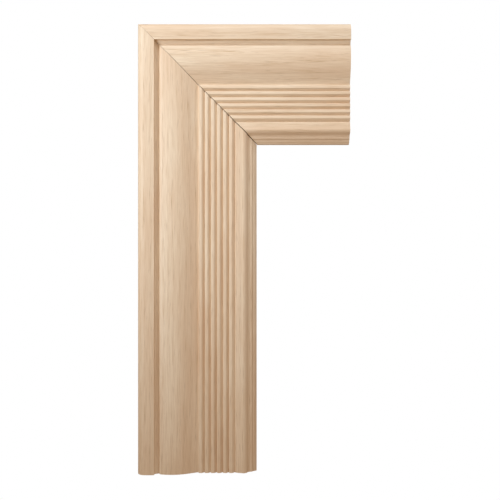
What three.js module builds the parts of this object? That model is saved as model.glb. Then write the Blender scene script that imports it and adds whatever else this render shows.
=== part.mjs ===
// Mitred top-left corner of a solid oak door surround: one jamb casing and one head casing of the
// same milled pattern. Millimetres, +Z up. The wall is the plane Y = 0 and the moulded face looks
// towards -Y. The origin lies on the wall plane, on the centreline of the jamb casing, level with
// the inner edge of the head casing.
import * as THREE from "three";

// Lengths along the outer edge, from the outer corner to the square cut end.
const JAMB_CASING_LENGTH = 480;
const HEAD_CASING_LENGTH = 227;
const MITRE_GAP = 0.3; // hairline left between the two mitre faces, measured square to them

// Back band: the thick outer border, rounded over at the outside. 4/4 stock dressed to 20 mm.
const BAND_THICKNESS = 20;
const EASING_RADIUS = 8;
const BAND_FLAT_WIDTH = 10.1;
const BAND_ARRIS_RADIUS = 0.4;

// Groove: a square drop at the band's inner side, then a bevel down to the quirk beside the ogee.
const BAND_DROP = 3.2;
const BEVEL_WIDTH = 4.7;

// Ogee: a tight shoulder out of the quirk, a crown arc over the crest, a straight fall, and a short
// hollow at the foot.
const SHOULDER_RADIUS = 3.5;
const CREST_OFFSET = 13.3; // crest from the quirk, across the face
const CREST_DROP = 1; // crest below the band
const CROWN_RADIUS = 44;
const CROWN_FALL_WIDTH = 17.2; // crest to the start of the straight fall
const STRAIGHT_FALL_WIDTH = 9.3;
const HOLLOW_WIDTH = 2.3;

// Reeds: each rises square from a quirk, has a face that leans a little towards the band, and
// slopes off to the next quirk.
const REED_COUNT = 6;
const REED_FACE_WIDTH = 3.1;
const REED_FACE_RISE = 0.4;
const REED_SLOPE_WIDTH = 3.1;
const REED_QUIRK_WIDTH = 0.3;
const REED_DEPTH = 2.7;
const REED_ARRIS_RADIUS = 0.3;
const REED_CREST_DROP = 6.6; // reed crests below the band

// Nose: a small shoulder, a broad face that leans towards the band, then a round that turns into a
// cove towards the opening.
const NOSE_SHOULDER_RADIUS = 1.4;
const NOSE_FACE_WIDTH = 7.2;
const NOSE_FACE_RISE = 2;
const NOSE_ROUND_WIDTH = 4.4;
const NOSE_COVE_WIDTH = 3.4;
const NOSE_FALL_DEG = 66; // steepest slope, where the round turns into the cove

// Inner edge: a fillet beside the nose, then two small steps down to the opening. Each step is a
// slope with a narrow face below it that falls a little towards the opening.
const NOSE_FILLET_WIDTH = 1.2;
const MIDDLE_SLOPE_WIDTH = 1.4;
const MIDDLE_SLOPE_DEPTH = 1.8;
const MIDDLE_FACE_WIDTH = 1.7;
const MIDDLE_FACE_FALL = 0.5;
const EDGE_SLOPE_WIDTH = 1.1;
const EDGE_SLOPE_DEPTH = 1.1;
const EDGE_FACE_WIDTH = 1.3;
const EDGE_FACE_FALL = 0.6;

// Back: two shallow relief channels between three lands, so that only the lands bear on wall and
// jamb.
const OUTER_LAND_WIDTH = 14;
const CENTRE_LAND_WIDTH = 19;
const INNER_LAND_WIDTH = 14;
const CHANNEL_DEPTH = 2;
const CHANNEL_CORNER_RADIUS = 1;

// Facet lengths, as the angle each facet turns through.
const TIGHT_FACET_DEG = 8;
const CROWN_FACET_DEG = 3;
const SMALL_FACET_DEG = 30;

const RIGHT_ANGLE = 90;

// The section's points: x is the distance from the outer edge, y the height above the wall plane.
const section = [];

function addPoint(across, height) {
  section.push(new THREE.Vector2(across, height));
}

function lastPoint() {
  return section[section.length - 1];
}

// An angle of 0 looks towards the inner edge and a right angle looks away from the wall.
function addRound(centre, radius, fromDeg, toDeg, facetDeg) {
  const facets = Math.max(2, Math.round(Math.abs(toDeg - fromDeg) / facetDeg));
  for (let i = 0; i <= facets; i++) {
    const angle = THREE.MathUtils.degToRad(fromDeg + ((toDeg - fromDeg) * i) / facets);
    addPoint(centre.x + radius * Math.cos(angle), centre.y + radius * Math.sin(angle));
  }
}

// The face, walked from the outer edge to the opening.
addPoint(0, 0);
const easingCentre = new THREE.Vector2(EASING_RADIUS, BAND_THICKNESS - EASING_RADIUS);
addRound(easingCentre, EASING_RADIUS, 2 * RIGHT_ANGLE, RIGHT_ANGLE, TIGHT_FACET_DEG);

const bandEdge = EASING_RADIUS + BAND_FLAT_WIDTH;
const bandArris = new THREE.Vector2(
  bandEdge - BAND_ARRIS_RADIUS,
  BAND_THICKNESS - BAND_ARRIS_RADIUS,
);
addRound(bandArris, BAND_ARRIS_RADIUS, RIGHT_ANGLE, 0, SMALL_FACET_DEG);
addPoint(bandEdge, BAND_THICKNESS - BAND_DROP);

// The bevel ends at the quirk, where the shoulder arc starts. The shoulder touches the crown arc
// from inside, so the two centres stand one radius difference apart.
const quirk = bandEdge + BEVEL_WIDTH;
const crownCentre = new THREE.Vector2(
  quirk + CREST_OFFSET,
  BAND_THICKNESS - CREST_DROP - CROWN_RADIUS,
);
const centresApart = CROWN_RADIUS - SHOULDER_RADIUS;
const shoulderLean = Math.asin((CREST_OFFSET - SHOULDER_RADIUS) / centresApart);
const shoulderCentre = new THREE.Vector2(
  quirk + SHOULDER_RADIUS,
  crownCentre.y + centresApart * Math.cos(shoulderLean),
);
const shoulderEndDeg = RIGHT_ANGLE + THREE.MathUtils.radToDeg(shoulderLean);
addRound(shoulderCentre, SHOULDER_RADIUS, 2 * RIGHT_ANGLE, shoulderEndDeg, TIGHT_FACET_DEG);

// The crown ends at the slope of the straight fall, and the hollow takes that slope back to level.
const fallSlope = Math.asin(CROWN_FALL_WIDTH / CROWN_RADIUS);
const fallSlopeDeg = THREE.MathUtils.radToDeg(fallSlope);
addRound(crownCentre, CROWN_RADIUS, shoulderEndDeg, RIGHT_ANGLE - fallSlopeDeg, CROWN_FACET_DEG);

const hollowRadius = HOLLOW_WIDTH / Math.sin(fallSlope);
const hollowCentre = new THREE.Vector2(
  lastPoint().x + STRAIGHT_FALL_WIDTH + HOLLOW_WIDTH,
  lastPoint().y - STRAIGHT_FALL_WIDTH * Math.tan(fallSlope) + hollowRadius * Math.cos(fallSlope),
);
addRound(hollowCentre, hollowRadius, 3 * RIGHT_ANGLE - fallSlopeDeg, 3 * RIGHT_ANGLE, TIGHT_FACET_DEG);

// Reeds. The foot of the hollow may stand a little above or below the reed valleys, as the cutter leaves it.
const reedCrest = BAND_THICKNESS - REED_CREST_DROP;
const reedValley = reedCrest - REED_DEPTH;
const faceLeanDeg = THREE.MathUtils.radToDeg(Math.atan2(REED_FACE_RISE, REED_FACE_WIDTH));
const reedSlopeDeg = THREE.MathUtils.radToDeg(Math.atan2(REED_DEPTH, REED_SLOPE_WIDTH));
for (let i = 0; i < REED_COUNT; i++) {
  const start = lastPoint().x;
  const slopeStart = start + REED_FACE_WIDTH;
  const slopeEnd = slopeStart + REED_SLOPE_WIDTH;
  const faceEndDeg = RIGHT_ANGLE + faceLeanDeg;
  const firstArris = new THREE.Vector2(
    start + REED_ARRIS_RADIUS,
    reedCrest - REED_FACE_RISE - REED_ARRIS_RADIUS,
  );
  addRound(firstArris, REED_ARRIS_RADIUS, 2 * RIGHT_ANGLE, faceEndDeg, SMALL_FACET_DEG);
  const secondArris = new THREE.Vector2(slopeStart, reedCrest - REED_ARRIS_RADIUS);
  addRound(secondArris, REED_ARRIS_RADIUS, faceEndDeg, RIGHT_ANGLE - reedSlopeDeg, SMALL_FACET_DEG);
  addPoint(slopeEnd, reedValley);
  addPoint(slopeEnd + REED_QUIRK_WIDTH, reedValley);
}

// Nose.
const shoulderCorner = new THREE.Vector2(lastPoint().x + NOSE_SHOULDER_RADIUS, reedValley);
addRound(shoulderCorner, NOSE_SHOULDER_RADIUS, 2 * RIGHT_ANGLE, RIGHT_ANGLE, 2 * TIGHT_FACET_DEG);

const noseFall = THREE.MathUtils.degToRad(NOSE_FALL_DEG);
const roundRadius = NOSE_ROUND_WIDTH / Math.sin(noseFall);
const roundCentre = new THREE.Vector2(
  lastPoint().x + NOSE_FACE_WIDTH,
  lastPoint().y + NOSE_FACE_RISE - roundRadius,
);
addRound(roundCentre, roundRadius, RIGHT_ANGLE, RIGHT_ANGLE - NOSE_FALL_DEG, TIGHT_FACET_DEG);

const coveRadius = NOSE_COVE_WIDTH / Math.sin(noseFall);
const coveCentre = new THREE.Vector2(
  lastPoint().x + NOSE_COVE_WIDTH,
  lastPoint().y + coveRadius * Math.cos(noseFall),
);
addRound(coveCentre, coveRadius, 3 * RIGHT_ANGLE - NOSE_FALL_DEG, 3 * RIGHT_ANGLE, TIGHT_FACET_DEG);

// Inner edge.
function addFall(width, depth) {
  addPoint(lastPoint().x + width, lastPoint().y - depth);
}

addFall(NOSE_FILLET_WIDTH, 0);
addFall(MIDDLE_SLOPE_WIDTH, MIDDLE_SLOPE_DEPTH);
addFall(MIDDLE_FACE_WIDTH, MIDDLE_FACE_FALL);
addFall(EDGE_SLOPE_WIDTH, EDGE_SLOPE_DEPTH);
addFall(EDGE_FACE_WIDTH, EDGE_FACE_FALL);

const CASING_WIDTH = lastPoint().x;
addPoint(CASING_WIDTH, 0);

// A relief channel in the back, walked from its inner side to its outer side.
function addChannel(innerSide, outerSide) {
  const r = CHANNEL_CORNER_RADIUS;
  const cornerHeight = CHANNEL_DEPTH - r;
  addPoint(innerSide, 0);
  const innerCorner = new THREE.Vector2(innerSide - r, cornerHeight);
  const outerCorner = new THREE.Vector2(outerSide + r, cornerHeight);
  addRound(innerCorner, r, 0, RIGHT_ANGLE, SMALL_FACET_DEG);
  addRound(outerCorner, r, RIGHT_ANGLE, 2 * RIGHT_ANGLE, SMALL_FACET_DEG);
  addPoint(outerSide, 0);
}

const channelWidth = (CASING_WIDTH - OUTER_LAND_WIDTH - CENTRE_LAND_WIDTH - INNER_LAND_WIDTH) / 2;
const innerLandEdge = CASING_WIDTH - INNER_LAND_WIDTH;
addChannel(innerLandEdge, innerLandEdge - channelWidth);
addChannel(OUTER_LAND_WIDTH + channelWidth, OUTER_LAND_WIDTH);

// One length of the moulding along local +Z. Local X runs from the outer edge and local -Y away
// from the wall. The mitre cut falls back from the outer corner as X grows; the other end is cut
// square.
function casingLength(length, mitreAtTop) {
  const shape = new THREE.Shape(section.map((p) => new THREE.Vector2(p.x, -p.y)));
  const geometry = new THREE.ExtrudeGeometry(shape, { depth: length, bevelEnabled: false, steps: 1 });
  const positions = geometry.getAttribute("position");
  const trim = (MITRE_GAP / 2) * Math.SQRT2;
  for (let i = 0; i < positions.count; i++) {
    const fallBack = positions.getX(i) + trim;
    const atTop = positions.getZ(i) > length / 2;
    if (atTop && mitreAtTop) positions.setZ(i, length - fallBack);
    if (!atTop && !mitreAtTop) positions.setZ(i, fallBack);
  }
  geometry.computeVertexNormals();
  return geometry;
}

const jambOak = new THREE.MeshStandardMaterial({ color: 0xe3cba9, roughness: 0.62, metalness: 0 });
const headOak = new THREE.MeshStandardMaterial({ color: 0xe6cda6, roughness: 0.62, metalness: 0 });

const doorSurround = new THREE.Group();

const jambCasing = new THREE.Mesh(casingLength(JAMB_CASING_LENGTH, true), jambOak);
jambCasing.name = "jamb_casing";
jambCasing.position.set(-CASING_WIDTH / 2, 0, CASING_WIDTH - JAMB_CASING_LENGTH);
doorSurround.add(jambCasing);

const headCasing = new THREE.Mesh(casingLength(HEAD_CASING_LENGTH, false), headOak);
headCasing.name = "head_casing";
headCasing.rotation.y = THREE.MathUtils.degToRad(RIGHT_ANGLE);
headCasing.position.set(-CASING_WIDTH / 2, 0, CASING_WIDTH);
doorSurround.add(headCasing);

export default doorSurround;
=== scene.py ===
# Mitred top-left corner of a milled white oak door surround. Metres, +Z up. The wall is the plane
# Y = 0, the moulded face looks towards -Y, and the origin is on the middle back land of the jamb
# casing, level with the inner edge of the head casing.
import math

import bpy
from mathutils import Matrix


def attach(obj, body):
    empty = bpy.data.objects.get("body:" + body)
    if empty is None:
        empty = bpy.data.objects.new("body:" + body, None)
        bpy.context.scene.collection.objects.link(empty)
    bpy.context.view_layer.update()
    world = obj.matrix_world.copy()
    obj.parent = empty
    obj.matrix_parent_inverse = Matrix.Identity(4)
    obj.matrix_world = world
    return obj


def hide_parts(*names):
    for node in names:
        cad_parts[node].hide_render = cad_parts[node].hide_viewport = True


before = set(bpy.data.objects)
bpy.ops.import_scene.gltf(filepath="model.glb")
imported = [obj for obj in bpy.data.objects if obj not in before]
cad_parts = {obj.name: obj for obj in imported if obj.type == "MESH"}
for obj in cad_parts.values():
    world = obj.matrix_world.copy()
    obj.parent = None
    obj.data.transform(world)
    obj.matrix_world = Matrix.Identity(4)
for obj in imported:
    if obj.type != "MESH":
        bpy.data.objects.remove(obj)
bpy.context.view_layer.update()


# Jamb casing: the upright length on the left, one white oak board dressed to 20 mm and moulded over
# its whole length. It is sawn at 45 degrees at the top and square at the bottom, and is nailed flat
# to the wall and the door jamb. Sizes of the section are in millimetres.
MM = 0.001
CASING_WIDTH = 127
JAMB_CASING_LENGTH = 480

BAND_THICKNESS = 20
EASING_RADIUS = 8
BAND_FLAT_WIDTH = 10.1
BAND_ARRIS_RADIUS = 0.4
BAND_DROP = 3.2
BEVEL_WIDTH = 4.7

SHOULDER_RADIUS = 3.5
CREST_OFFSET = 13.3
CREST_DROP = 1
CROWN_RADIUS = 44
CROWN_FALL_WIDTH = 17.2
STRAIGHT_FALL_WIDTH = 9.3
HOLLOW_WIDTH = 2.3

REED_COUNT = 6
REED_FACE_WIDTH = 3.1
REED_FACE_RISE = 0.4
REED_SLOPE_WIDTH = 3.1
REED_QUIRK_WIDTH = 0.3
REED_DEPTH = 2.7
REED_ARRIS_RADIUS = 0.3
REED_CREST_DROP = 6.6

NOSE_SHOULDER_RADIUS = 1.4
NOSE_FACE_WIDTH = 7.2
NOSE_FACE_RISE = 2
NOSE_ROUND_WIDTH = 4.4
NOSE_COVE_WIDTH = 3.4
NOSE_FALL = math.radians(66)

NOSE_FILLET_WIDTH = 1.2
MIDDLE_SLOPE_WIDTH = 1.4
MIDDLE_SLOPE_DEPTH = 1.8
MIDDLE_FACE_WIDTH = 1.7
MIDDLE_FACE_FALL = 0.5
EDGE_SLOPE_WIDTH = 1.1
EDGE_SLOPE_DEPTH = 1.1
EDGE_FACE_WIDTH = 1.3
EDGE_FACE_FALL = 0.6

OUTER_LAND_WIDTH = 14
CENTRE_LAND_WIDTH = 19
INNER_LAND_WIDTH = 14
CHANNEL_DEPTH = 2
CHANNEL_CORNER_RADIUS = 1

RIGHT_ANGLE = math.pi / 2
ARC_FACET = math.radians(4)
CROWN_FACET = math.radians(1)
ARRIS_FACET = RIGHT_ANGLE / 4
SMOOTH_BELOW = math.radians(24)
MERGE_DISTANCE = 1e-6

foot = (CASING_WIDTH - JAMB_CASING_LENGTH) * MM
pen = [0.0, 0.0]


def on_section(across, height):
    """A point of the section, from its distance to the outer edge and its height above the wall."""
    return ((across - CASING_WIDTH / 2) * MM, -height * MM, foot)


def draw_line(across, height):
    """Pulls the last point of the outline straight to a new place."""
    step = ((across - pen[0]) * MM, (pen[1] - height) * MM, 0)
    bpy.ops.mesh.extrude_vertices_move(TRANSFORM_OT_translate={"value": step})
    pen[:] = (across, height)


def draw_arc(centre, turn, facet=ARC_FACET):
    """Spins the last point about a centre: over a rib for a positive turn, round a hollow for a
    negative one."""
    steps = max(2, round(abs(turn) / facet))
    bpy.ops.mesh.spin(steps=steps, angle=turn, center=on_section(*centre), axis=(0, 0, -1))
    across = pen[0] - centre[0]
    height = pen[1] - centre[1]
    pen[0] = centre[0] + across * math.cos(turn) + height * math.sin(turn)
    pen[1] = centre[1] + height * math.cos(turn) - across * math.sin(turn)


bpy.ops.object.select_all(action="DESELECT")
bpy.ops.mesh.primitive_plane_add(size=MM, location=on_section(0, 0))
jamb_casing = bpy.context.object
jamb_casing.name = "jamb_casing_oak"
bpy.ops.object.transform_apply(location=True, rotation=False, scale=False)
bpy.ops.object.mode_set(mode="EDIT")
bpy.ops.mesh.select_mode(type="VERT")
bpy.ops.mesh.select_all(action="SELECT")
bpy.ops.mesh.merge(type="CENTER")

# Back band, rounded over at the outside.
draw_line(0, BAND_THICKNESS - EASING_RADIUS)
draw_arc((EASING_RADIUS, pen[1]), RIGHT_ANGLE)
band_edge = EASING_RADIUS + BAND_FLAT_WIDTH
draw_line(band_edge - BAND_ARRIS_RADIUS, BAND_THICKNESS)
draw_arc((pen[0], BAND_THICKNESS - BAND_ARRIS_RADIUS), RIGHT_ANGLE, facet=ARRIS_FACET)
draw_line(band_edge, BAND_THICKNESS - BAND_DROP)

# Bevel down to the quirk, then the ogee: shoulder, crown, straight fall and hollow. The shoulder
# touches the crown from inside, so their centres are one radius difference apart.
quirk = band_edge + BEVEL_WIDTH
crown_centre = (quirk + CREST_OFFSET, BAND_THICKNESS - CREST_DROP - CROWN_RADIUS)
centres_apart = CROWN_RADIUS - SHOULDER_RADIUS
shoulder_lean = math.asin((CREST_OFFSET - SHOULDER_RADIUS) / centres_apart)
shoulder_centre = (quirk + SHOULDER_RADIUS, crown_centre[1] + centres_apart * math.cos(shoulder_lean))
draw_line(quirk, shoulder_centre[1])
draw_arc(shoulder_centre, RIGHT_ANGLE - shoulder_lean)
fall_slope = math.asin(CROWN_FALL_WIDTH / CROWN_RADIUS)
draw_arc(crown_centre, shoulder_lean + fall_slope, facet=CROWN_FACET)
draw_line(pen[0] + STRAIGHT_FALL_WIDTH, pen[1] - STRAIGHT_FALL_WIDTH * math.tan(fall_slope))
hollow_centre = (pen[0] + HOLLOW_WIDTH, pen[1] + HOLLOW_WIDTH / math.tan(fall_slope))
draw_arc(hollow_centre, -fall_slope)

# Reeds: each rises square from a quirk, has a face that leans a little towards the band, and slopes
# off to the next quirk.
reed_crest = BAND_THICKNESS - REED_CREST_DROP
reed_valley = reed_crest - REED_DEPTH
face_lean = math.atan2(REED_FACE_RISE, REED_FACE_WIDTH)
reed_slope = math.atan2(REED_DEPTH, REED_SLOPE_WIDTH)
for reed in range(REED_COUNT):
    slope_start = pen[0] + REED_FACE_WIDTH
    slope_end = slope_start + REED_SLOPE_WIDTH
    draw_line(pen[0], reed_crest - REED_FACE_RISE - REED_ARRIS_RADIUS)
    draw_arc((pen[0] + REED_ARRIS_RADIUS, pen[1]), RIGHT_ANGLE - face_lean, facet=ARRIS_FACET)
    arris_centre = (slope_start, reed_crest - REED_ARRIS_RADIUS)
    draw_line(arris_centre[0] - REED_ARRIS_RADIUS * math.sin(face_lean),
              arris_centre[1] + REED_ARRIS_RADIUS * math.cos(face_lean))
    draw_arc(arris_centre, face_lean + reed_slope, facet=ARRIS_FACET)
    draw_line(slope_end, reed_valley)
    draw_line(slope_end + REED_QUIRK_WIDTH, reed_valley)

# Nose: a small shoulder, a broad face that leans towards the band, then a round and a cove.
draw_arc((pen[0] + NOSE_SHOULDER_RADIUS, pen[1]), RIGHT_ANGLE)
draw_line(pen[0] + NOSE_FACE_WIDTH, pen[1] + NOSE_FACE_RISE)
draw_arc((pen[0], pen[1] - NOSE_ROUND_WIDTH / math.sin(NOSE_FALL)), NOSE_FALL)
draw_arc((pen[0] + NOSE_COVE_WIDTH, pen[1] + NOSE_COVE_WIDTH / math.tan(NOSE_FALL)), -NOSE_FALL)

# Inner edge: a fillet beside the nose, then two small steps down to the opening.
draw_line(pen[0] + NOSE_FILLET_WIDTH, pen[1])
draw_line(pen[0] + MIDDLE_SLOPE_WIDTH, pen[1] - MIDDLE_SLOPE_DEPTH)
draw_line(pen[0] + MIDDLE_FACE_WIDTH, pen[1] - MIDDLE_FACE_FALL)
draw_line(pen[0] + EDGE_SLOPE_WIDTH, pen[1] - EDGE_SLOPE_DEPTH)
draw_line(pen[0] + EDGE_FACE_WIDTH, pen[1] - EDGE_FACE_FALL)

# Back, walked home from the inner edge: two relief channels between three lands.
draw_line(CASING_WIDTH, 0)
channel_width = (CASING_WIDTH - OUTER_LAND_WIDTH - CENTRE_LAND_WIDTH - INNER_LAND_WIDTH) / 2
for land in (INNER_LAND_WIDTH, CENTRE_LAND_WIDTH):
    draw_line(pen[0] - land, 0)
    draw_line(pen[0], CHANNEL_DEPTH - CHANNEL_CORNER_RADIUS)
    draw_arc((pen[0] - CHANNEL_CORNER_RADIUS, pen[1]), -RIGHT_ANGLE, facet=ARRIS_FACET)
    draw_line(pen[0] - channel_width + 2 * CHANNEL_CORNER_RADIUS, CHANNEL_DEPTH)
    draw_arc((pen[0], pen[1] - CHANNEL_CORNER_RADIUS), -RIGHT_ANGLE, facet=ARRIS_FACET)
    draw_line(pen[0], 0)
draw_line(0, 0)

# The outline becomes a face, and the face is pulled up into the board.
bpy.ops.mesh.select_all(action="SELECT")
bpy.ops.mesh.remove_doubles(threshold=MERGE_DISTANCE)
bpy.ops.mesh.edge_face_add()
bpy.ops.mesh.extrude_region_move(TRANSFORM_OT_translate={"value": (0, 0, JAMB_CASING_LENGTH * MM)})
bpy.ops.mesh.select_all(action="SELECT")
bpy.ops.mesh.normals_make_consistent(inside=False)
bpy.ops.object.mode_set(mode="OBJECT")

# The head casing is the same moulding, so its length is copied from this one before the mitre is cut.
bpy.ops.object.duplicate()
head_casing = bpy.context.object
head_casing.name = "head_casing_oak"

# The mitre closes at the outer corner and stands a little open at the inner one, as it does after
# the wood has dried.
MITRE_ANGLE = math.radians(45)
MITRE_GAP_OUTER = 0.12
MITRE_GAP_INNER = 0.85

half_width = CASING_WIDTH / 2 * MM
gap_lean = math.atan((MITRE_GAP_INNER - MITRE_GAP_OUTER) / 2 / (CASING_WIDTH * math.sqrt(2)))


def cut_mitre(side):
    """Saws the active length at the corner and shades its rounds smooth, which leaves all sawn edges
    crisp. side is 1 for the length below the mitre and -1 for the one above."""
    direction = MITRE_ANGLE - side * gap_lean
    normal = (side * math.cos(direction), 0, side * math.sin(direction))
    back_off = side * MITRE_GAP_OUTER / 2 * MM / math.sqrt(2)
    corner = (-half_width - back_off, 0, CASING_WIDTH * MM - back_off)
    bpy.ops.object.mode_set(mode="EDIT")
    bpy.ops.mesh.select_all(action="SELECT")
    bpy.ops.mesh.bisect(plane_co=corner, plane_no=normal, use_fill=True, clear_outer=True)
    bpy.ops.object.mode_set(mode="OBJECT")
    bpy.ops.object.shade_smooth_by_angle(angle=SMOOTH_BELOW)


bpy.ops.object.select_all(action="DESELECT")
bpy.context.view_layer.objects.active = jamb_casing
jamb_casing.select_set(True)
cut_mitre(1)

# Planed, unfinished white oak: soft yellowish and pinkish patches, faint rings and fibres, and the
# pores of the early wood as fine brown lines along the grain. The bare surface is almost matt. Real
# fibres and pores are a few hundredths and tenths of a millimetre wide, and are drawn coarser to
# show. A spacing is given across the grain twice and then along it.
OAK_PALE = "#EFDABA"
OAK_PINK = "#E5C8A5"
OAK_EARLY_WOOD = "#CBA97E"
OAK_PORE = "#977656"
OAK_END_GRAIN = "#B08A60"

RING_SPACING = 3.8 * MM
PORE_SPACING = (1 * MM, 1 * MM, 24 * MM)
FIBRE_SPACING = (0.9 * MM, 0.9 * MM, 24 * MM)
PATCH_SPACING = (28 * MM, 28 * MM, 150 * MM)
WANDER_SPACING = (60 * MM, 60 * MM, 420 * MM)
WANDER = 14 * MM
PORE_DEPTH = 0.08 * MM

PATCH_RANGE = (0.35, 0.65)
FIBRE_RANGE = (0.35, 0.75)
FIBRE_TONE = 0.85
EARLY_WOOD_SHARE = 0.7
LATE_WOOD_TONE = 0.5
PORE_REACH_LATE = 0.12
PORE_REACH_EARLY = 0.32
PORE_CORE = 0.05
PORE_TONE = 0.45
END_RANGE = (0.5, 0.7)
END_TONE = 0.7
FIBRE_RELIEF = 0.3
RELIEF_STRENGTH = 0.7
ROUGHNESS_RANGE = (0.5, 0.72)
OAK_IOR = 1.45

# A wave texture of scale 1 turns this many radians in a metre.
WAVE_TURN = 20

JAMB_PITH = (0.105, -0.07, 0)


def linear(hex_colour):
    """An sRGB hex colour as the linear values that a shader takes."""
    channels = [int(hex_colour[i:i + 2], 16) / 255 for i in (1, 3, 5)]
    return [c / 12.92 if c <= 0.04045 else ((c + 0.055) / 1.055) ** 2.4 for c in channels] + [1]


def add_node(tree, kind, inputs, **settings):
    """One node with its settings. An input is a plain value or the output socket that feeds it."""
    node = tree.nodes.new(kind)
    for name, value in settings.items():
        setattr(node, name, value)
    for name, value in inputs.items():
        if isinstance(value, bpy.types.NodeSocket):
            tree.links.new(value, node.inputs[name])
        else:
            node.inputs[name].default_value = value
    return node


def planed_oak(name, grain_turn, pith, grain_axis):
    """Oak sawn from a log whose pith is beside the board. The pattern's Z axis is the log's."""
    material = bpy.data.materials.new(name)
    material.use_nodes = True
    tree = material.node_tree
    tree.nodes.clear()
    place = add_node(tree, "ShaderNodeTexCoord", {})
    log = add_node(tree, "ShaderNodeMapping",
                   {"Vector": place.outputs["Object"], "Location": pith, "Rotation": grain_turn})

    # The grain wanders a little off the straight.
    slow = add_node(tree, "ShaderNodeVectorMath", {0: log.outputs[0], 1: WANDER_SPACING},
                    operation="DIVIDE")
    wander = add_node(tree, "ShaderNodeTexNoise", {"Vector": slow.outputs[0], "Scale": 1, "Detail": 2})
    grain = add_node(tree, "ShaderNodeVectorMath",
                     {0: wander.outputs["Color"], 1: (WANDER, WANDER, 0), 2: log.outputs[0]},
                     operation="MULTIPLY_ADD")

    rings = add_node(tree, "ShaderNodeTexWave",
                     {"Vector": grain.outputs[0], "Scale": 2 * math.pi / (WAVE_TURN * RING_SPACING)},
                     wave_type="RINGS", rings_direction="Z", wave_profile="SAW")
    fibre_place = add_node(tree, "ShaderNodeVectorMath", {0: grain.outputs[0], 1: FIBRE_SPACING},
                           operation="DIVIDE")
    fibres = add_node(tree, "ShaderNodeTexNoise",
                      {"Vector": fibre_place.outputs[0], "Scale": 1, "Detail": 3, "Roughness": 0.6})
    patch_place = add_node(tree, "ShaderNodeVectorMath", {0: log.outputs[0], 1: PATCH_SPACING},
                           operation="DIVIDE")
    patches = add_node(tree, "ShaderNodeTexNoise",
                       {"Vector": patch_place.outputs[0], "Scale": 1, "Detail": 4, "Roughness": 0.55})
    pore_place = add_node(tree, "ShaderNodeVectorMath", {0: grain.outputs[0], 1: PORE_SPACING},
                          operation="DIVIDE")
    cells = add_node(tree, "ShaderNodeTexVoronoi", {"Vector": pore_place.outputs[0], "Scale": 1})

    # The early wood of a ring starts sharply and fades out. Its pores are wider.
    early_wood = add_node(tree, "ShaderNodeMapRange",
                          {"Value": rings.outputs["Fac"], "From Max": EARLY_WOOD_SHARE,
                           "To Min": 1, "To Max": 0})
    pore_reach = add_node(tree, "ShaderNodeMapRange",
                          {"Value": early_wood.outputs[0], "To Min": PORE_REACH_LATE,
                           "To Max": PORE_REACH_EARLY})
    pores = add_node(tree, "ShaderNodeMapRange",
                     {"Value": cells.outputs["Distance"], "From Min": pore_reach.outputs[0],
                      "From Max": PORE_CORE})

    # Patches, then darker lines where the early wood and the fibres coincide, then pores.
    tone = add_node(tree, "ShaderNodeMapRange",
                    {"Value": patches.outputs["Fac"], "From Min": PATCH_RANGE[0],
                     "From Max": PATCH_RANGE[1]})
    board = add_node(tree, "ShaderNodeMix",
                     {"Factor": tone.outputs[0], 6: linear(OAK_PALE), 7: linear(OAK_PINK)},
                     data_type="RGBA")
    fibre_tone = add_node(tree, "ShaderNodeMapRange",
                          {"Value": fibres.outputs["Fac"], "From Min": FIBRE_RANGE[0],
                           "From Max": FIBRE_RANGE[1], "To Max": FIBRE_TONE})
    ring_tone = add_node(tree, "ShaderNodeMath",
                         {0: early_wood.outputs[0], 1: 1 - LATE_WOOD_TONE, 2: LATE_WOOD_TONE},
                         operation="MULTIPLY_ADD")
    line_tone = add_node(tree, "ShaderNodeMath", {0: ring_tone.outputs[0], 1: fibre_tone.outputs[0]},
                         operation="MULTIPLY")
    ringed = add_node(tree, "ShaderNodeMix",
                      {"Factor": line_tone.outputs[0], 6: board.outputs[2], 7: linear(OAK_EARLY_WOOD)},
                      data_type="RGBA")
    pore_tone = add_node(tree, "ShaderNodeMath", {0: pores.outputs[0], 1: PORE_TONE},
                         operation="MULTIPLY")
    pored = add_node(tree, "ShaderNodeMix",
                     {"Factor": pore_tone.outputs[0], 6: ringed.outputs[2], 7: linear(OAK_PORE)},
                     data_type="RGBA")

    # Sawn ends and the faces of the mitre are darker.
    across_grain = add_node(tree, "ShaderNodeVectorMath", {0: place.outputs["Normal"], 1: grain_axis},
                            operation="DOT_PRODUCT")
    facing_end = add_node(tree, "ShaderNodeMath", {0: across_grain.outputs["Value"]},
                          operation="ABSOLUTE")
    end_grain = add_node(tree, "ShaderNodeMapRange",
                         {"Value": facing_end.outputs[0], "From Min": END_RANGE[0],
                          "From Max": END_RANGE[1], "To Max": END_TONE})
    wood = add_node(tree, "ShaderNodeMix",
                    {"Factor": end_grain.outputs[0], 6: pored.outputs[2], 7: linear(OAK_END_GRAIN)},
                    data_type="RGBA")

    # Fibres stand up a little and pores are open.
    relief = add_node(tree, "ShaderNodeMath", {0: fibres.outputs["Fac"], 1: FIBRE_RELIEF, 2: -1},
                      operation="MULTIPLY_ADD")
    pitted = add_node(tree, "ShaderNodeMath", {0: relief.outputs[0], 1: pores.outputs[0]},
                      operation="SUBTRACT")
    bump = add_node(tree, "ShaderNodeBump",
                    {"Height": pitted.outputs[0], "Distance": PORE_DEPTH, "Strength": RELIEF_STRENGTH})
    sheen = add_node(tree, "ShaderNodeMapRange",
                     {"Value": fibres.outputs["Fac"], "To Min": ROUGHNESS_RANGE[0],
                      "To Max": ROUGHNESS_RANGE[1]})
    surface = add_node(tree, "ShaderNodeBsdfPrincipled",
                       {"Base Color": wood.outputs[2], "Roughness": sheen.outputs[0],
                        "Normal": bump.outputs[0], "IOR": OAK_IOR})
    add_node(tree, "ShaderNodeOutputMaterial", {"Surface": surface.outputs[0]})
    return material


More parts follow.
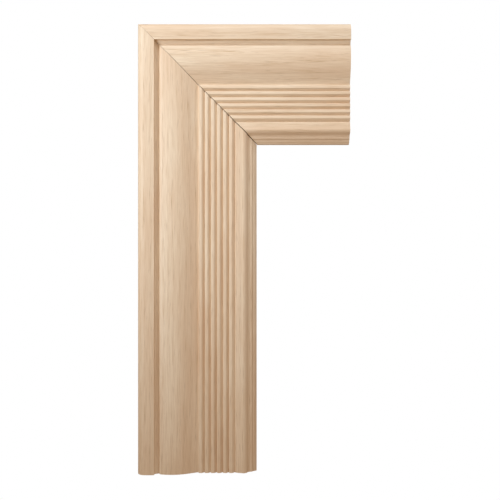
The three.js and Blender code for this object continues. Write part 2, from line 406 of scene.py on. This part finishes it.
jamb_casing.data.materials.clear()
jamb_casing.data.materials.append(
    planed_oak("planed_white_oak_upright", (0, 0, 0), JAMB_PITH, (0, 0, 1)))
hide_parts("jamb_casing")
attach(jamb_casing, "root")


# Head casing: the level length over the opening, of the same moulding with its grain running across.
# It is sawn at 45 degrees at the left to meet the jamb casing and square at the right.
HEAD_CASING_LENGTH = 227
HEAD_PITH = (0.06, -0.12, 0.7)

bpy.ops.object.select_all(action="DESELECT")
bpy.context.view_layer.objects.active = head_casing
head_casing.select_set(True)
bpy.ops.object.mode_set(mode="EDIT")
bpy.ops.mesh.select_all(action="SELECT")
bpy.ops.transform.rotate(value=-RIGHT_ANGLE, orient_axis="Y", center_override=(-half_width, 0, foot))
bpy.ops.transform.translate(value=(0, 0, CASING_WIDTH * MM - foot))
bpy.ops.mesh.bisect(plane_co=(HEAD_CASING_LENGTH * MM - half_width, 0, 0), plane_no=(1, 0, 0),
                    use_fill=True, clear_outer=True)
bpy.ops.object.mode_set(mode="OBJECT")
cut_mitre(-1)

head_casing.data.materials.clear()
head_casing.data.materials.append(
    planed_oak("planed_white_oak_level", (0, -RIGHT_ANGLE, 0), HEAD_PITH, (1, 0, 0)))
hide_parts("head_casing")
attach(head_casing, "root")


# Floor: a plain sheet of pale painted board, well below the part.
FLOOR_SIZE = 1.3
FLOOR_DROP = 0.45
FLOOR_MIDDLE = 0.05
FLOOR_COLOUR = "#E6E4E0"
FLOOR_ROUGHNESS = 0.8

bpy.ops.object.select_all(action="DESELECT")
bpy.ops.mesh.primitive_plane_add(size=FLOOR_SIZE, location=(FLOOR_MIDDLE, 0, foot - FLOOR_DROP))
floor = bpy.context.object
floor.name = "floor"
pale_board = bpy.data.materials.new("pale_painted_board")
pale_board.use_nodes = True
paint = pale_board.node_tree.nodes["Principled BSDF"]
paint.inputs["Base Color"].default_value = linear(FLOOR_COLOUR)
paint.inputs["Roughness"].default_value = FLOOR_ROUGHNESS
floor.data.materials.append(pale_board)


# Light: a broad soft lamp above, a soft lamp on the left and a weak one on the right. The side lamps
# are near and their cones meet the part at its top, so the light fades towards the foot of the jamb
# casing. The room gives weak warm light from all round, and one more lamp lights the back.
CORNER_AIM = (0.05, 0, 0.12)
CONE_AIM = (0.03, 0, 0.07)
TOP_LAMP_RISE = math.radians(60)
TOP_LAMP_DISTANCE = 1.6
TOP_LAMP_CONE = 8
TOP_LAMP_POWER = 76
LEFT_LAMP_TURN = math.radians(-50)
LEFT_LAMP_POWER = 30
RIGHT_LAMP_TURN = math.radians(62)
RIGHT_LAMP_RISE = math.radians(2)
RIGHT_LAMP_POWER = 8.3
SIDE_LAMP_DISTANCE = 0.9
SIDE_LAMP_CONE = 0.6
LAMP_RADIUS_SHARE = 0.25
LAMP_COLOUR = "#E0EDFF"
ROOM_COLOUR = "#FFD2A0"
ROOM_STRENGTH = 0.285
BACK_PLACE = (0.5, 1.2, 0.6)
BACK_SIZE = 0.8
BACK_POWER = 12

scene = bpy.context.scene


def aim(thing, target):
    """Turns a lamp towards a point."""
    direction = [t - p for t, p in zip(target, thing.location)]
    yaw = math.atan2(-direction[0], direction[1])
    pitch = math.atan2(direction[2], math.hypot(direction[0], direction[1]))
    thing.rotation_euler = (RIGHT_ANGLE + pitch, 0, yaw)


def add_lamp(name, turn, rise, distance, cone_radius, power):
    """A round soft lamp before the wall, turned to the right of the camera's side and raised. Its
    cone has the given radius where it meets the part."""
    data = bpy.data.lights.new(name, "SPOT")
    data.energy = power
    data.color = linear(LAMP_COLOUR)[:3]
    data.shadow_soft_size = distance * LAMP_RADIUS_SHARE
    data.spot_size = 2 * math.atan(cone_radius / distance)
    data.spot_blend = 1
    lamp = bpy.data.objects.new(name, data)
    scene.collection.objects.link(lamp)
    lamp.location = (CORNER_AIM[0] + distance * math.cos(rise) * math.sin(turn),
                     CORNER_AIM[1] - distance * math.cos(rise) * math.cos(turn),
                     CORNER_AIM[2] + distance * math.sin(rise))
    aim(lamp, CONE_AIM)


add_lamp("top_lamp", 0, TOP_LAMP_RISE, TOP_LAMP_DISTANCE, TOP_LAMP_CONE, TOP_LAMP_POWER)
add_lamp("left_lamp", LEFT_LAMP_TURN, 0, SIDE_LAMP_DISTANCE, SIDE_LAMP_CONE, LEFT_LAMP_POWER)
add_lamp("right_lamp", RIGHT_LAMP_TURN, RIGHT_LAMP_RISE, SIDE_LAMP_DISTANCE, SIDE_LAMP_CONE,
         RIGHT_LAMP_POWER)

back_data = bpy.data.lights.new("back_lamp", "AREA")
back_data.energy = BACK_POWER
back_data.size = BACK_SIZE
back_lamp = bpy.data.objects.new("back_lamp", back_data)
scene.collection.objects.link(back_lamp)
back_lamp.location = BACK_PLACE
aim(back_lamp, CORNER_AIM)

world = bpy.data.worlds.new("pale_room")
scene.world = world
world.use_nodes = True
world.node_tree.nodes.clear()
seen = add_node(world.node_tree, "ShaderNodeBackground", {"Color": (1, 1, 1, 1), "Strength": 1})
lit = add_node(world.node_tree, "ShaderNodeBackground",
               {"Color": linear(ROOM_COLOUR), "Strength": ROOM_STRENGTH})
rays = add_node(world.node_tree, "ShaderNodeLightPath", {})
room = add_node(world.node_tree, "ShaderNodeMixShader",
                {0: rays.outputs["Is Camera Ray"], 1: lit.outputs[0], 2: seen.outputs[0]})
add_node(world.node_tree, "ShaderNodeOutputWorld", {"Surface": room.outputs[0]})


# Camera: square on to the moulding, at the distance that gives the cut ends the outline they show.
CAMERA_DISTANCE = 0.7
FACE_PLANE = -0.0065
VIEW_CENTRE = (0.0563, FACE_PLANE, -0.1144)
FRAME_WIDTH = 0.54
SENSOR_WIDTH = 36

camera_data = bpy.data.cameras.new("camera")
camera_data.sensor_width = SENSOR_WIDTH
camera_data.lens = SENSOR_WIDTH * CAMERA_DISTANCE / FRAME_WIDTH
camera = bpy.data.objects.new("camera", camera_data)
scene.collection.objects.link(camera)
camera.location = (VIEW_CENTRE[0], FACE_PLANE - CAMERA_DISTANCE, VIEW_CENTRE[2])
camera.rotation_euler = (RIGHT_ANGLE, 0, 0)
scene.camera = camera

scene.view_settings.view_transform = "Standard"
